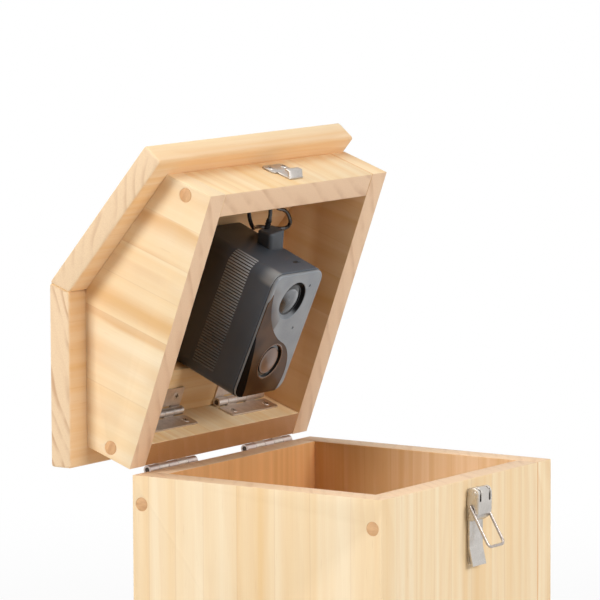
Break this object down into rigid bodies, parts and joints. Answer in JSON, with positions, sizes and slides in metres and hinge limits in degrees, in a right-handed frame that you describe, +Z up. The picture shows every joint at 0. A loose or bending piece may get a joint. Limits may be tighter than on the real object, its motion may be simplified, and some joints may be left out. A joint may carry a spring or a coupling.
{
  "type": "nest box",
  "caption": "Pine nest box with a gable-roofed lid hinged on one side, shown open, with a toggle latch and a camera unit in the lid",
  "frame": {"origin": "Centre of the underside of the box, which is where it stands on a level surface", "axes": "+X runs to the side with the toggle latch, +Y from the front board with the entrance hole to the back board, and +Z up"},
  "size_m": [0.2472, 0.21, 0.4425],
  "materials": {
    "pine_boards": "planed bare pine, pale and evenly grained",
    "pine_lid": "planed bare pine with broad soft figure",
    "wood_plugs": "end grain, a shade darker than the boards",
    "hinge_steel": "zinc-plated sheet, lightly brushed",
    "latch_steel": "nickel-plated sheet, smooth",
    "camera_shell": "fine matt moulding with rounded edges",
    "camera_front": "smooth satin moulding",
    "dark_window": "dark brown gloss filter window",
    "sensor_dome": "milky lens dome",
    "lens": "black lens mount with coated glass",
    "lead_sheath": "glossy black sheath"
  },
  "bodies": {
    "box": {"front_wall": "pine_boards", "back_wall": "pine_boards", "left_wall": "pine_boards", "right_wall": "pine_boards", "floor_board": "pine_boards", "front_wall_plugs": "wood_plugs", "back_wall_plugs": "wood_plugs", "front_hinge_box_leaf": "hinge_steel", "rear_hinge_box_leaf": "hinge_steel", "front_hinge_pin": "hinge_steel", "rear_hinge_pin": "hinge_steel", "latch_base": "latch_steel", "latch_pin": "latch_steel"},
    "lid": {"lid_front_gable": "pine_lid", "lid_back_gable": "pine_lid", "lid_left_wall": "pine_lid", "lid_right_wall": "pine_lid", "left_roof_board": "pine_lid", "right_roof_board": "pine_lid", "lid_front_plugs": "wood_plugs", "lid_back_plugs": "wood_plugs", "front_hinge_lid_leaf": "hinge_steel", "rear_hinge_lid_leaf": "hinge_steel", "catch_plate": "latch_steel", "camera_shelf": "pine_lid", "front_bracket_wall_leaf": "hinge_steel", "front_bracket_shelf_leaf": "hinge_steel", "front_bracket_pin": "hinge_steel", "rear_bracket_wall_leaf": "hinge_steel", "rear_bracket_shelf_leaf": "hinge_steel", "rear_bracket_pin": "hinge_steel", "camera_case": "camera_shell", "camera_face": "camera_front", "camera_window": "dark_window", "motion_sensor": "sensor_dome", "camera_lens": "lens", "camera_mount": "camera_shell", "lead_plug": "camera_shell", "camera_lead": "lead_sheath", "lead_grommet": "lead_sheath"},
    "lever": {"latch_lever": "latch_steel"},
    "bail": {"latch_bail": "latch_steel"}
  },
  "joints": [
    {"name": "lid_hinge", "type": "hinge", "parent": "box", "child": "lid", "pos_m": [-0.093, 0, 0.24025], "axis": [0, -1, 0], "range_deg": [-70, 90]},
    {"name": "latch_lever", "type": "hinge", "parent": "box", "child": "lever", "pos_m": [0.0962, 0.0044, 0.232], "axis": [0, -1, 0], "range_deg": [0, 120]},
    {"name": "latch_bail", "type": "hinge", "parent": "lever", "child": "bail", "pos_m": [0.0936, 0.0044, 0.224], "axis": [0, -1, 0], "range_deg": [-15, 35]}
  ]
}
